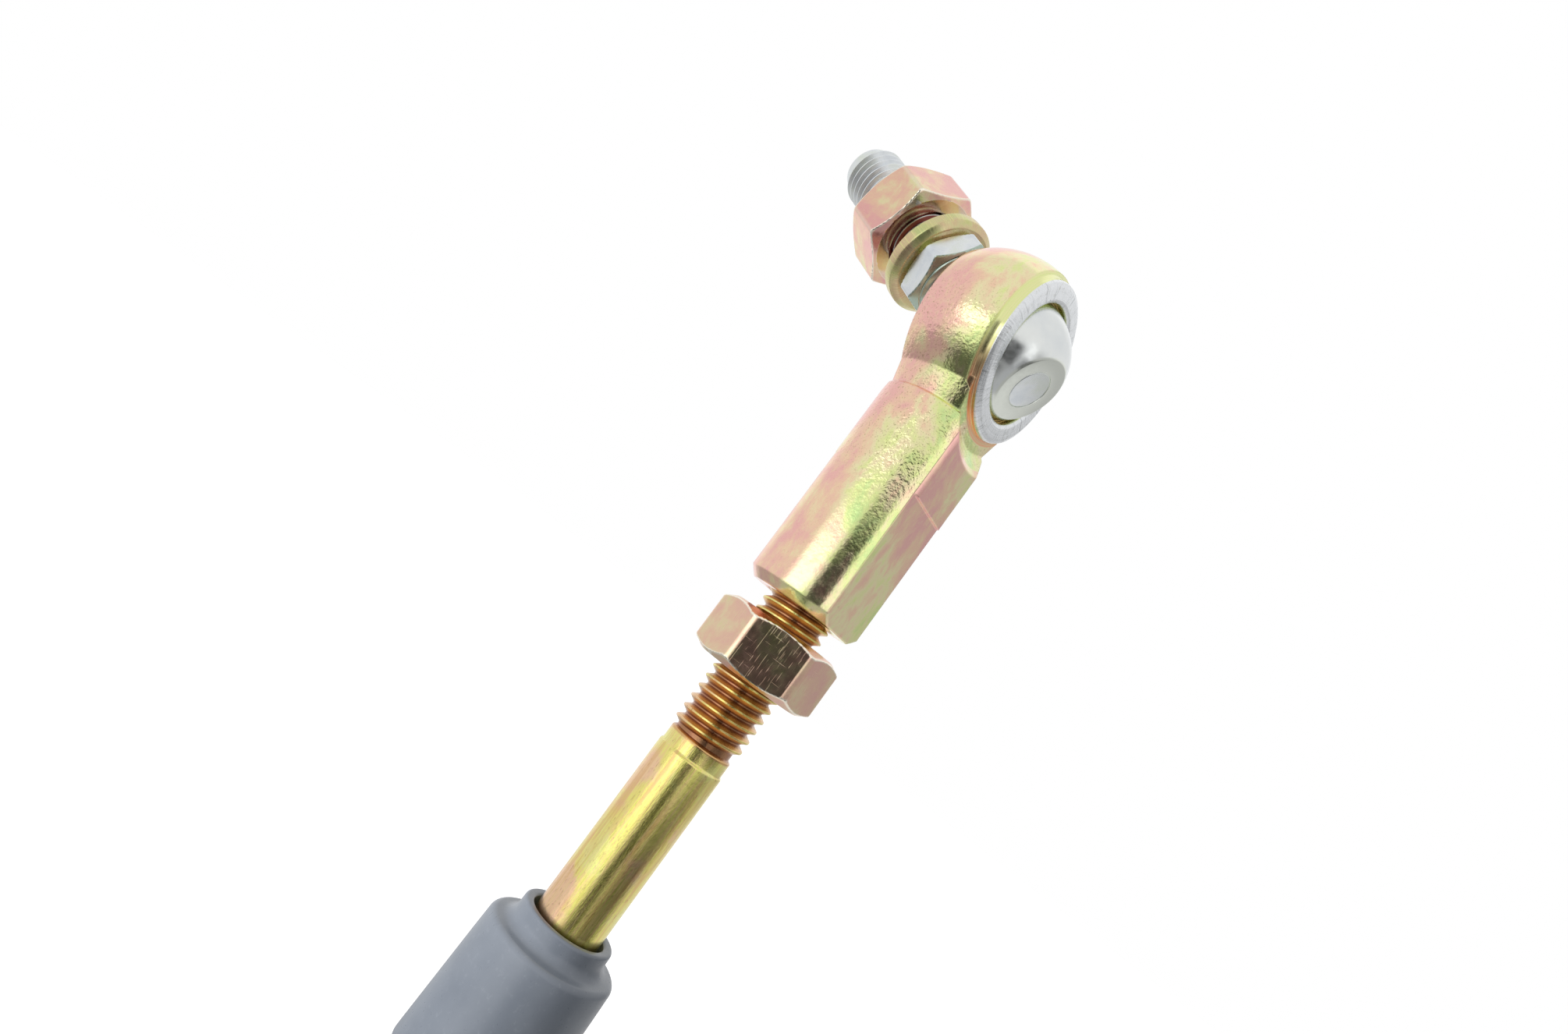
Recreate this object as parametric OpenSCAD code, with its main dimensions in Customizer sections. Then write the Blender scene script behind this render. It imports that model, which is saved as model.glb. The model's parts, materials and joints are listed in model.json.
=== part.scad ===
// Ball-stud rod end on the output rod of a push-pull control. The origin is the centre of the ball.
// +Z runs up the rod axis to the head, -Y faces out of the swaged lip and +Y is the stud's side.

/* [Ball and stud] */
// Diameter of the ball
ball_d = 14.3; // [14:0.1:14.5]
// Tilt of the stud away from the +Y axis, in degrees
stud_tilt = 27; // [0:1:28]
// Turn of that tilt about the +Y axis, from straight up towards +X, in degrees
stud_roll = 7; // [-90:1:90]
// Major diameter of the stud's thread
stud_thread_d = 7.9; // [7.8:0.02:7.92]
// Distance from the ball's centre to the stud's tip
stud_reach = 36.4; // [33:0.1:38]
// Diameter of the stud's waist between the ball and the hexagon
stud_waist_d = 6.8; // [5:0.1:7]
// Distance from the ball's centre to the hexagon's near face
collar_start = 11.6; // [11.4:0.1:12]
// Thickness of the stud's hexagon collar
collar_w = 3.3; // [2.5:0.1:3.6]
// Width across the flats of the collar
collar_af = 10; // [9:0.5:11]

/* [Washer and nuts] */
// Outer diameter of the spring lock washer
washer_d = 13; // [12.5:0.1:14]
// Thickness of the spring lock washer
washer_w = 2; // [1.8:0.1:2.2]
// Width across the flats of both nuts
nut_af = 13; // [12.8:0.1:13]
// Height of both nuts
nut_h = 6.5; // [6:0.1:6.8]
// Distance from the ball's centre to the near face of the stud's nut
stud_nut_start = 20.3; // [18:0.1:22]
// Diameter of every nut's plain bore, which stands for its thread
nut_bore_d = 8; // [8:0.02:8.05]

/* [Housing] */
// Diameter of the spherical head
head_d = 21.3; // [21:0.1:22]
// Distance of the head's sphere and of the shank's axis behind the ball's centre
shank_y = 1.5; // [1.3:0.1:1.7]
// Depth of the head on the stud's side, from the ball's centre
head_back = 6.5; // [6.3:0.1:6.8]
// Diameter of the round shank
shank_d = 14; // [13.6:0.1:14.4]
// Distance from the ball's centre down to the shank's end
shank_drop = 35.4; // [34:0.1:37]
// Width across the lower, deeper wrench flats
flat_low_af = 10.5; // [10.4:0.1:11]
// Width across the upper, shallower flats
flat_high_af = 11.2; // [11.1:0.1:12]
// Depth of the threaded hole in the shank
hole_depth = 18; // [16:0.5:20]

/* [Rod] */
// Diameter of the plain part of the rod
rod_d = 7.7; // [7.6:0.02:7.72]
// Height of the rod's top end, inside the shank
rod_top = -20.5; // [-21:0.1:-19]
// Height at which the rod's thread stops
rod_thread_end = -52.6; // [-54:0.1:-51]
// Height of the rod's bottom end, inside the support tube
rod_bottom = -110; // [-112:0.5:-109]
// Height of the jam nut's lower face
jam_nut_z = -44.5; // [-46:0.1:-43]

/* [Cap and tube] */
// Height of the dust cap's top
cap_top = -74.3; // [-75:0.1:-74]
// Height of the dust cap's bottom
cap_bottom = -92.5; // [-94:0.1:-92]
// Outer diameter of the support tube
tube_od = 11; // [11:0.1:11.4]
// Inner diameter of the support tube
tube_id = 9; // [8.9:0.1:9]
// Height of the support tube's open bottom end
tube_bottom = -132; // [-136:0.5:-132]

/* [Hidden] */
$fn = 96;
e = 0.01;
gap = 0.03;            // running clearance on the radius or along the axis

// Colours
zinc_yellow = "#d6c08a";
zinc_clear = "#d3d8da";
bearing_bronze = "#a9814f";
cap_grey = "#6d737c";
seal_black = "#26282a";
bush_white = "#e7e4da";
tube_steel = "#a7abad";

// Ball, races and the cavity that holds them
ball_r = ball_d / 2;
pole_r = 4.1;                                  // flat on the ball's free pole
pole_h = sqrt(pow(ball_r, 2) - pow(pole_r, 2));
neck_h = sqrt(pow(ball_r, 2) - pow(stud_waist_d / 2, 2));
shank_r_in_ball = 2.1;
rivet_r = 2.4;                                 // spread end of the stud, flush with the pole
rivet_h = 0.6;
race_r = 8.57;
race_front = -2.3;
race_back = 3.6;
race_gap = 0.04;
cavity_r = race_r + gap;
end_play = 0.05;                               // of the race halves in the cavity

// Front of the head, as radius and depth pairs: the turned groove and the swaged lip
lip_r = 6.95;
lip_front = -3.5;
front_edge = -2;
front_profile = [[0, front_edge + 1], [9.85, front_edge + 1], [9.85, front_edge], [9.6, -2.1],
                 [9.35, -2.6], [9.3, -3], [9.15, -3.3], [8.7, lip_front],
                 [lip_r + 0.35, lip_front], [lip_r, lip_front + 0.2], [0, lip_front + 0.2]];
head_r = head_d / 2;
head_y = shank_y + 0.3;
mouth_r = 6.5;                                 // stud-side opening, at the rear race
mouth_flare_r = 7.9;                           // and at the head's back face
relief_r = 11.1;                               // cutter reliefs that part the head from the shank
relief_front = front_edge - 0.6;
relief_slope = 1.36;

// Shank
shank_r = shank_d / 2;
waist_z = -9.9;
waist_step = 0.3;
waist_r = shank_r - 0.25;
blend_z = -6.5;
blend_r = 8;
flat_top_z = -10.3;
flat_step_z = -19.6;
foot_chamfer = 1;
drill_point = 2.4;

// Stud, along its own axis from the ball's centre
thread_r = stud_thread_d / 2;
engaged_r = thread_r - 0.2;                    // thread under the washer and the nut
collar_end = collar_start + collar_w;
washer_start = collar_end + 0.1;
free_thread_start = stud_nut_start + nut_h + 0.6;
tip_chamfer = 0.8;
flare_start = 9.8;
flare_r = collar_af / 2 - 0.3;
collar_turn = 48;                              // turns of the hexagons and the split about their axes
stud_nut_turn = 13;
jam_nut_turn = 1;
split_turn = 340;
collar_corner_drop = 0.45;
nut_corner_drop = 0.62;
countersink = 0.5;

// Rod and what rides on it
rod_r = rod_d / 2;
tail_r = 3.3;
stop_z = -107.5;
stop_h = 3;
stop_r = tube_id / 2 - 0.1;
groove_z = stop_z + 0.9;
groove_h = 1.2;
groove_r = 3.9;
crimp_r = 1.6;                                 // blind hole that takes the control's inner core
crimp_depth = 18;

// Cap, seal, bush and tube
tube_r = tube_od / 2;
tube_seat_r = tube_r - 0.2;                    // turned seat inside the cap
tube_bore_r = tube_id / 2;
cap_hole_r = 4.25;
cap_neck_r = 5.3;
cap_shoulder_z = -77;
seal_top = -77.2;
seal_bottom = -79.4;
seal_r = 5.75;
bush_flange = 0.8;
bush_bottom = -86;

module along_y() { rotate([-90, 0, 0]) children(); }
module along_stud() { rotate([0, stud_roll, 0]) rotate([stud_tilt, 0, 0]) along_y() children(); }
module on_rod_axis() { translate([0, shank_y, 0]) children(); }

// A pipe along local z, from z0 to z1
module pipe(outer, inner, z0, z1) {
    difference() {
        translate([0, 0, z0]) cylinder(r = outer, h = z1 - z0);
        translate([0, 0, z0 - 1]) cylinder(r = inner, h = z1 - z0 + 2);
    }
}

// A hexagon along local z; a 30 degree cone turns its corners down by drop at both ends
module hex_prism(af, h, drop) {
    corner_r = af / sqrt(3);
    face_r = af / 2 - 0.15;
    cone_r = face_r + drop / tan(30);
    intersection() {
        cylinder(r = corner_r, h = h, $fn = 6);
        union() {
            cylinder(r1 = face_r, r2 = cone_r, h = drop);
            translate([0, 0, drop]) cylinder(r = corner_r + 1, h = h - 2 * drop);
            translate([0, 0, h - drop]) cylinder(r1 = cone_r, r2 = face_r, h = drop);
        }
    }
}

module hex_nut() {
    difference() {
        hex_prism(nut_af, nut_h, nut_corner_drop);
        translate([0, 0, -1]) cylinder(d = nut_bore_d, h = nut_h + 2);
        translate([0, 0, -e])
            cylinder(r1 = nut_bore_d / 2 + countersink, r2 = nut_bore_d / 2, h = countersink);
        translate([0, 0, nut_h - countersink + e])
            cylinder(r1 = nut_bore_d / 2, r2 = nut_bore_d / 2 + countersink, h = countersink);
    }
}

module head_blank() {
    intersection() {
        translate([0, head_y, 0]) sphere(r = head_r);
        along_y() translate([0, 0, front_edge]) cylinder(r = head_d, h = head_back - front_edge);
    }
    along_y() rotate_extrude() polygon(front_profile);
}

module shank_blank() {
    on_rod_axis() {
        translate([0, 0, -shank_drop]) cylinder(r1 = shank_r - foot_chamfer, r2 = shank_r, h = foot_chamfer);
        translate([0, 0, -shank_drop + foot_chamfer])
            cylinder(r = shank_r, h = shank_drop - foot_chamfer + waist_z - waist_step);
        translate([0, 0, waist_z - waist_step]) cylinder(r1 = shank_r, r2 = waist_r, h = waist_step);
        translate([0, 0, waist_z]) cylinder(r1 = waist_r, r2 = blend_r, h = blend_z - waist_z);
    }
}

// Conical cutter reliefs that part the shank from the front and the back of the head
module head_reliefs() {
    cut = 8;
    mouth = relief_r + cut * relief_slope;
    along_y() translate([0, 0, relief_front - cut]) cylinder(r1 = mouth, r2 = relief_r, h = cut);
    along_y() translate([0, 0, head_back]) cylinder(r1 = relief_r, r2 = mouth, h = cut);
}

// Cuts a pair of flats, at a width across them, from height z0 to z1
module wrench_flats(af, z0, z1) {
    cut = shank_d;
    on_rod_axis() for (side = [-1, 1])
        translate([-cut / 2, side * (af + cut) / 2 - cut / 2, z0]) cube([cut, cut, z1 - z0]);
}

module housing() {
    color(zinc_yellow) difference() {
        union() {
            head_blank();
            difference() {
                shank_blank();
                head_reliefs();
            }
        }
        wrench_flats(flat_low_af, -shank_drop - 1, flat_step_z);
        wrench_flats(flat_high_af, flat_step_z - 1, flat_top_z);
        along_y() {
            translate([0, 0, race_front - end_play])
                cylinder(r = cavity_r, h = race_back - race_front + 2 * end_play);
            translate([0, 0, lip_front - 1]) cylinder(r = lip_r, h = 1 - lip_front);
            translate([0, 0, race_back])
                cylinder(r1 = mouth_r, r2 = mouth_flare_r, h = head_back - race_back + e);
        }
        on_rod_axis() translate([0, 0, -shank_drop]) {
            translate([0, 0, -1]) cylinder(d = nut_bore_d, h = hole_depth + 1);
            translate([0, 0, hole_depth]) cylinder(r1 = nut_bore_d / 2, r2 = 0, h = drill_point);
            translate([0, 0, -e])
                cylinder(r1 = nut_bore_d / 2 + countersink, r2 = nut_bore_d / 2, h = countersink);
        }
    }
}

// One half of the bearing race, between two depths, around the ball
module race_half(y0, y1) {
    color(bearing_bronze) difference() {
        along_y() translate([0, 0, y0]) cylinder(r = race_r, h = y1 - y0);
        sphere(r = ball_r + gap);
    }
}

module front_race() { race_half(race_front, -race_gap / 2); }

module rear_race() { race_half(race_gap / 2, race_back); }

module ball() {
    color(zinc_clear) along_stud() difference() {
        intersection() {
            sphere(r = ball_r);
            translate([0, 0, -pole_h]) cylinder(r = ball_r + 1, h = pole_h + neck_h);
        }
        translate([0, 0, -ball_r]) cylinder(r = shank_r_in_ball + gap, h = 2 * ball_r);
        translate([0, 0, -pole_h - e])
            cylinder(r1 = rivet_r + gap, r2 = shank_r_in_ball + gap, h = rivet_h + e);
    }
}

module ball_stud() {
    color(zinc_clear) along_stud() {
        translate([0, 0, -pole_h]) cylinder(r1 = rivet_r, r2 = shank_r_in_ball, h = rivet_h - gap);
        translate([0, 0, -pole_h + rivet_h - gap])
            cylinder(r = shank_r_in_ball, h = pole_h - rivet_h + gap + neck_h + 1);
        translate([0, 0, neck_h + gap]) cylinder(d = stud_waist_d, h = flare_start - neck_h - gap);
        translate([0, 0, flare_start])
            cylinder(r1 = stud_waist_d / 2, r2 = flare_r, h = collar_start - flare_start);
        translate([0, 0, collar_start]) rotate([0, 0, collar_turn])
            hex_prism(collar_af, collar_w, collar_corner_drop);
        translate([0, 0, collar_end]) cylinder(r = engaged_r, h = free_thread_start - collar_end);
        translate([0, 0, free_thread_start])
            cylinder(r = thread_r, h = stud_reach - tip_chamfer - free_thread_start);
        translate([0, 0, stud_reach - tip_chamfer])
            cylinder(r1 = thread_r, r2 = thread_r - tip_chamfer, h = tip_chamfer);
    }
}

// Split ring with one bevelled rim
module lock_washer() {
    bevel = 0.7;
    split_w = 0.9;
    washer_bore_r = thread_r + 0.09;
    color(zinc_yellow) along_stud() difference() {
        union() {
            translate([0, 0, washer_start]) cylinder(r1 = washer_d / 2 - bevel, r2 = washer_d / 2, h = bevel);
            translate([0, 0, washer_start + bevel]) cylinder(d = washer_d, h = washer_w - bevel);
        }
        translate([0, 0, washer_start - 1]) cylinder(r = washer_bore_r, h = washer_w + 2);
        translate([0, 0, washer_start - 1]) rotate([0, 0, split_turn])
            translate([0, -split_w / 2, 0]) cube([washer_d, split_w, washer_w + 2]);
    }
}

module stud_nut() {
    color(zinc_yellow) along_stud()
        translate([0, 0, stud_nut_start]) rotate([0, 0, stud_nut_turn]) hex_nut();
}

module jam_nut() {
    color(zinc_yellow) on_rod_axis()
        translate([0, 0, jam_nut_z]) rotate([0, 0, jam_nut_turn]) hex_nut();
}

module control_rod() {
    top_chamfer = 0.8;
    relief_len = 1.7;                          // groove where the rolled thread runs out
    relief_depth = 0.2;
    color(zinc_yellow) on_rod_axis() difference() {
        union() {
            translate([0, 0, rod_top - top_chamfer])
                cylinder(r1 = thread_r, r2 = thread_r - top_chamfer, h = top_chamfer);
            translate([0, 0, rod_thread_end])
                cylinder(r = thread_r, h = rod_top - top_chamfer - rod_thread_end);
            translate([0, 0, rod_thread_end - relief_len])
                cylinder(r = rod_r - relief_depth, h = relief_len);
            translate([0, 0, stop_z + stop_h])
                cylinder(r = rod_r, h = rod_thread_end - relief_len - stop_z - stop_h);
            translate([0, 0, rod_bottom]) cylinder(r = tail_r, h = stop_z + stop_h - rod_bottom);
        }
        translate([0, 0, rod_bottom - 1]) cylinder(r = crimp_r, h = crimp_depth + 1);
    }
}

module stop_collar() {
    color(tube_steel) on_rod_axis() difference() {
        pipe(stop_r, tail_r, stop_z, stop_z + stop_h);
        pipe(stop_r + 1, groove_r, groove_z, groove_z + groove_h);
    }
}

module glide_ring() {
    color(bush_white) on_rod_axis() pipe(tube_bore_r - gap, groove_r, groove_z, groove_z + groove_h);
}

// Moulded cap: neck, sloping shoulder, slightly tapered body, and the bores for the seal and the tube
module dust_cap() {
    color(cap_grey) on_rod_axis() rotate_extrude() polygon([
        [cap_hole_r, seal_top], [cap_hole_r, cap_top - 0.4], [cap_hole_r + 0.3, cap_top],
        [cap_neck_r - 0.4, cap_top], [cap_neck_r, cap_top - 0.4], [cap_neck_r + 0.25, cap_top - 1.6],
        [cap_neck_r + 0.55, cap_top - 2.3], [cap_neck_r + 1.1, cap_shoulder_z + 0.1],
        [6.9, cap_shoulder_z], [7.3, cap_shoulder_z - 0.25], [7.45, cap_shoulder_z - 0.7],
        [7.85, cap_bottom + 0.9], [7.6, cap_bottom + 0.3], [7.1, cap_bottom],
        [tube_seat_r, cap_bottom], [tube_seat_r, seal_bottom], [seal_r, seal_bottom],
        [seal_r, seal_top]]);
}

module wiper_seal() {
    color(seal_black) on_rod_axis() pipe(seal_r, rod_r + gap, seal_bottom, seal_top);
}

module guide_bush() {
    flange_z = seal_bottom - bush_flange;
    color(bush_white) on_rod_axis() {
        pipe(tube_bore_r, rod_r + gap, bush_bottom, flange_z + e);
        pipe(tube_seat_r, rod_r + gap, flange_z, seal_bottom);
    }
}

module support_tube() {
    seat_end = cap_bottom - 0.5;
    color(tube_steel) on_rod_axis() {
        pipe(tube_r, tube_bore_r, tube_bottom, seat_end);
        pipe(tube_seat_r, tube_bore_r, seat_end - e, seal_bottom - bush_flange);
    }
}

housing();
front_race();
rear_race();
ball();
ball_stud();
lock_washer();
stud_nut();
jam_nut();
control_rod();
stop_collar();
glide_ring();
dust_cap();
wiper_seal();
guide_bush();
support_tube();
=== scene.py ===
"""Looks of a ball-stud rod end on the output rod of a push-pull control.

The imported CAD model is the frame: the ball's centre is the origin, +Z runs up the rod and -Y faces out of the
swaged lip. Lengths below are in millimetres, and mesh() turns them into metres.
"""

import json
import math

import bmesh
import bpy
from mathutils import Matrix, Vector

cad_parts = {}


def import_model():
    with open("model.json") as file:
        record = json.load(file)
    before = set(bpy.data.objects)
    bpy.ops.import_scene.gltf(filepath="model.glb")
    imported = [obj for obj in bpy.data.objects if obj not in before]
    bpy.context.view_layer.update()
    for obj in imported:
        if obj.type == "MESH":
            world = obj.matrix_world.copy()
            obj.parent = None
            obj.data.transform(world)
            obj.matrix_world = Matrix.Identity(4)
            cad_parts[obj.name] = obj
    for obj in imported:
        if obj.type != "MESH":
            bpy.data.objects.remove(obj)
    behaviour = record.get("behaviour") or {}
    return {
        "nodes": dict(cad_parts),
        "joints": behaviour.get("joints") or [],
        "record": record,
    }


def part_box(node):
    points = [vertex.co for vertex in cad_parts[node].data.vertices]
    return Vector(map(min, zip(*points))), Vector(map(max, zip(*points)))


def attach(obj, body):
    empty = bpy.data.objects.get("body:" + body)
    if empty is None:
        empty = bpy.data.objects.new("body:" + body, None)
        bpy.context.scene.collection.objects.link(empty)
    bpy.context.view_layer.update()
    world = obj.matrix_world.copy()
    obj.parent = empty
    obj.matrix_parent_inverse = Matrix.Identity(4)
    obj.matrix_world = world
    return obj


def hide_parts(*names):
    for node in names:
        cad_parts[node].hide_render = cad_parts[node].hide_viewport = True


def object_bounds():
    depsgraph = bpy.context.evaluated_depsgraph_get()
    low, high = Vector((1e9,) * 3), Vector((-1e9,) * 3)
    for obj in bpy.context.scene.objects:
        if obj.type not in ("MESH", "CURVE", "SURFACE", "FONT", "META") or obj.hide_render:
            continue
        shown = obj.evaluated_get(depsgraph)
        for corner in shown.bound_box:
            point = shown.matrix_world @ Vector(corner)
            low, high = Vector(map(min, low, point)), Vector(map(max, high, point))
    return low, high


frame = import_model()
cad_low, cad_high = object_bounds()
MM = 0.001
TURN = 2 * math.pi

# ---------------------------------------------------------------- dimensions read from the frame


def top(node):
    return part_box(node)[1].z / MM


def bottom(node):
    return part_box(node)[0].z / MM


ROD_Y = (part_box("support_tube")[0].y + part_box("support_tube")[1].y) / 2 / MM
JOINTS = {j["name"]: j for j in frame["joints"]}
STUD_AXIS = Vector(JOINTS["stud_spin"]["axis"]).normalized()
STUD_SIDE = Vector(JOINTS["stud_tilt"]["axis"]).normalized()
MOUNTS = {m["name"]: m for m in frame["record"]["mounts"]}


def stud_span(node):
    """How far a CAD node reaches along the stud's axis, lowest and highest, from the ball's centre."""
    along = [STUD_AXIS.dot(v.co) / MM for v in frame["nodes"][node].data.vertices]
    return min(along), max(along)


THREAD_R = MOUNTS["stud_thread"]["dims"]["r_mm"]

# Sizes that the frame doesn't state, as in the CAD model
ROD_PITCH = 1.25              # M8 coarse thread
STUD_PITCH = 1.0              # M8 fine thread
NUT_AF = 13.0
NUT_BORE_R = 4.0
BALL_R = 7.15
POLE_R = 4.1                  # flat on the ball's free pole
WAIST_R = 3.4                 # stud's waist, where it leaves the ball
COLLAR_AF = 10.0
COLLAR_START, COLLAR_END = 11.6, 14.9
ROD_R = 3.84
ROD_TAIL_R = 3.29
ROD_TAIL_TOP = -104.5
ROD_THREAD_END = -52.6
LIP_R = 6.92

# Turns of the hexagons and of the washer's split about their own axes
COLLAR_TURN = math.radians(48)
STUD_NUT_TURN = math.radians(13)
JAM_NUT_TURN = math.radians(1)
SPLIT_TURN = math.radians(340)

SEGMENTS = 96
RING_SEGMENTS = 160           # the swaged ring and the bore beside it
HEX_SEGMENTS = 240

STUD_FRAME = Matrix((STUD_SIDE, STUD_AXIS.cross(STUD_SIDE), STUD_AXIS)).transposed().to_4x4()
ROD_FRAME = Matrix.Translation((0, ROD_Y, 0))
LIP_FRAME = Matrix.Rotation(math.pi / 2, 4, "X")      # local +Z points out of the lip, along -Y

# ---------------------------------------------------------------- meshes


def shade(data, smooth_deg):
    """Smooth shading, with edges sharper than the angle left crisp."""
    data.shade_smooth()
    data.set_sharp_from_angle(angle=math.radians(smooth_deg))


def mesh(name, verts, faces, place, smooth_deg=32):
    """A new object from points in millimetres in a local frame, placed in the CAD frame."""
    data = bpy.data.meshes.new(name)
    data.from_pydata([(place @ Vector(v)) * MM for v in verts], [], faces)
    b = bmesh.new()
    b.from_mesh(data)
    bmesh.ops.recalc_face_normals(b, faces=b.faces)
    b.to_mesh(data)
    b.free()
    shade(data, smooth_deg)
    obj = bpy.data.objects.new(name, data)
    bpy.context.scene.collection.objects.link(obj)
    return obj


def arc(centre, radius, start, end, steps=8):
    """Points of an arc as (r, z) pairs; the angles are in degrees, 0 outwards and 90 upwards."""
    angles = [math.radians(start + (end - start) * i / steps) for i in range(steps + 1)]
    return [(centre[0] + radius * math.cos(a), centre[1] + radius * math.sin(a)) for a in angles]


def rounded(outline, radius, steps=4):
    """An (r, z) outline with each corner replaced by a small arc, cut short where sides are short."""
    out = [outline[0]]
    for before, corner, after in zip(outline, outline[1:], outline[2:]):
        p, a, b = Vector(corner), Vector(before), Vector(after)
        u, v = (a - p), (b - p)
        cut = min(radius, u.length * 0.45, v.length * 0.45)
        start, end = p + u.normalized() * cut, p + v.normalized() * cut
        for i in range(steps + 1):
            t = i / steps
            out.append(tuple((1 - t) ** 2 * start + 2 * t * (1 - t) * p + t * t * end))
    return out + [outline[-1]]


def lathe(name, outline, place, closed=False, segments=SEGMENTS, smooth_deg=32):
    """A solid of revolution round local Z. An open outline starts and ends on the axis, r = 0."""
    verts, rings = [], []
    for r, z in outline:
        if r < 1e-6:
            rings.append([len(verts)])
            verts.append((0, 0, z))
            continue
        rings.append(list(range(len(verts), len(verts) + segments)))
        verts += [(r * math.cos(TURN * i / segments), r * math.sin(TURN * i / segments), z)
                  for i in range(segments)]
    pairs = list(zip(rings, rings[1:])) + ([(rings[-1], rings[0])] if closed else [])
    faces = []
    for a, b in pairs:
        for i in range(segments):
            j = (i + 1) % segments
            if len(a) == 1:
                faces.append((a[0], b[i], b[j]))
            elif len(b) == 1:
                faces.append((a[j], a[i], b[0]))
            else:
                faces.append((a[j], a[i], b[i], b[j]))
    return mesh(name, verts, faces, place, smooth_deg)


# One pitch of a 60-degree thread, as shares of the pitch and of the depth.
# THREAD_DEPTH is the depth as a share of the pitch.
THREAD_PROFILE = [(0.0, 0.0), (0.11, 0.0), (0.17, 0.10), (0.44, 0.90), (0.49, 1.0), (0.62, 1.0), (0.67, 0.90),
                  (0.94, 0.10)]
THREAD_DEPTH = 0.544


def threaded_bar(name, z0, z1, place, pitch, crest, chamfer):
    """A closed bar with a right-hand helical thread from z0 to z1, chamfered at its upper end."""
    root = crest - THREAD_DEPTH * pitch
    m, n = len(THREAD_PROFILE), SEGMENTS
    turns = int((z1 - z0) / pitch) - 1
    verts = []

    def radius(z, depth):
        return min(root + (crest - root) * depth, crest - chamfer + max(0.0, z1 - z))

    start = z0 + 0.02
    total = turns * n + n
    for k in range(total):
        angle = TURN * k / n
        for share, depth in THREAD_PROFILE:
            z = start + pitch * (k / n + share)
            r = radius(z, depth)
            verts.append((r * math.cos(angle), r * math.sin(angle), min(z, z1 - 0.01)))
    faces = []
    for k in range(total - n - 1):
        for j in range(m):
            a, b = k * m + j, (k + 1) * m + j
            if j < m - 1:
                faces.append((a, b, b + 1, a + 1))
            else:
                faces.append((a, b, (k + 1 + n) * m, (k + n) * m))
    low = len(verts)
    low_r, high_r = radius(z0, 0.0), radius(z1, 0.0)
    verts += [(low_r * math.cos(TURN * i / n), low_r * math.sin(TURN * i / n), z0) for i in range(n)]
    for k in range(n - 1):
        faces.append((k * m, (k + 1) * m, low + k + 1, low + k))
    faces.append(tuple([low + n - 1, low] + list(range(m)) + [n * m, (n - 1) * m]))
    faces.append(tuple(low + i for i in range(n)))
    # the upper edge: the last full turn's upper profile line, closed to a flat ring
    last = total - n - 1
    high = len(verts)
    verts += [(high_r * math.cos(TURN * (last + i) / n), high_r * math.sin(TURN * (last + i) / n), z1)
              for i in range(n)]
    for i in range(n - 1):
        a, b = (last + i) * m, (last + i + 1) * m
        if i == 0:
            a, b = (last + n) * m, (last + 1) * m
            edge = [last * m + j for j in range(m)] + [(last + n) * m]
            faces.append(tuple([high, high + 1, b] + edge))
            continue
        faces.append((a, b, high + i + 1, high + i))
    faces.append(((last + n - 1) * m, (last + n) * m, high, high + n - 1))
    faces.append(tuple(high + i for i in range(n)))
    return mesh(name, verts, faces, place, 28)


def soft_min(a, b, blend):
    """The smaller of two lengths, rounded where they are close."""
    h = max(0.0, min(1.0, 0.5 + 0.5 * (b - a) / blend))
    return b * (1 - h) + a * h - blend * h * (1 - h)


def hexagon_r(angle, half_af, blend):
    """Distance from the centre to a hexagon's side, with its corners eased."""
    step = TURN / 6
    near = (angle + step / 2) % step - step / 2
    here = half_af / math.cos(near)
    beside = half_af / math.cos(step - abs(near))
    return soft_min(here, beside, blend)


def hexagon_part(name, af, z0, z1, place, turn, bore=0.0, pitch=1.0, chamfer=0.42, corner_blend=0.45):
    """A hexagon with turned chamfers that meet its flats in arcs; with a bore, a nut."""
    n = HEX_SEGMENTS
    rim = 0.12                # from the flat face to the start of the chamfer
    countersink = 0.5
    half, height = af / 2, z1 - z0
    slope = 1 / math.tan(math.radians(30))
    verts, rings = [], []

    def outer(angle, drop):
        cone = half - chamfer + drop * slope
        return soft_min(hexagon_r(angle - turn, half, corner_blend), cone, 0.10)

    def ring(points):
        rings.append(list(range(len(verts), len(verts) + n)))
        verts.extend(points)

    def circle(r, z):
        ring([(r * math.cos(TURN * i / n), r * math.sin(TURN * i / n), z) for i in range(n)])

    drops = [0.0, 0.04, 0.1, 0.18, 0.27, 0.36, 0.46, 0.56, 0.66, 0.76, 0.86, 0.97, 1.1, 1.25]
    levels = [(d, z0 + d) for d in drops] + [(d, z1 - d) for d in reversed(drops)]
    levels.insert(len(drops), (height / 2, (z0 + z1) / 2))
    if bore:
        mouth = bore + countersink
        steps = int(height / pitch * 8)
        inner = [z0 + height * i / steps for i in range(steps + 1)]
        circle(mouth, z0)
    else:
        circle(half * 0.5, z0)
    circle(half - chamfer - rim, z0)
    for drop, z in levels:
        ring([(outer(TURN * i / n, drop) * math.cos(TURN * i / n),
               outer(TURN * i / n, drop) * math.sin(TURN * i / n), z) for i in range(n)])
    circle(half - chamfer - rim, z1)
    if bore:
        circle(mouth, z1)
        for z in reversed(inner[1:-1]):
            points = []
            for i in range(n):
                wave = abs(((z / pitch - i / n) % 1.0) * 2 - 1)
                sink = min(1.0, max(z - z0, 0) / countersink, max(z1 - z, 0) / countersink)
                r = max(bore + 0.3 * wave, bore + countersink * (1 - sink))
                points.append((r * math.cos(TURN * i / n), r * math.sin(TURN * i / n), z))
            ring(points)
        pairs = list(zip(rings, rings[1:])) + [(rings[-1], rings[0])]
    else:
        circle(half * 0.5, z1)
        pairs = list(zip(rings, rings[1:]))
    faces = [(a[(i + 1) % n], a[i], b[i], b[(i + 1) % n]) for a, b in pairs for i in range(n)]
    if not bore:
        faces += [tuple(rings[0]), tuple(reversed(rings[-1]))]
    return mesh(name, verts, faces, place, 30)


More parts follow.
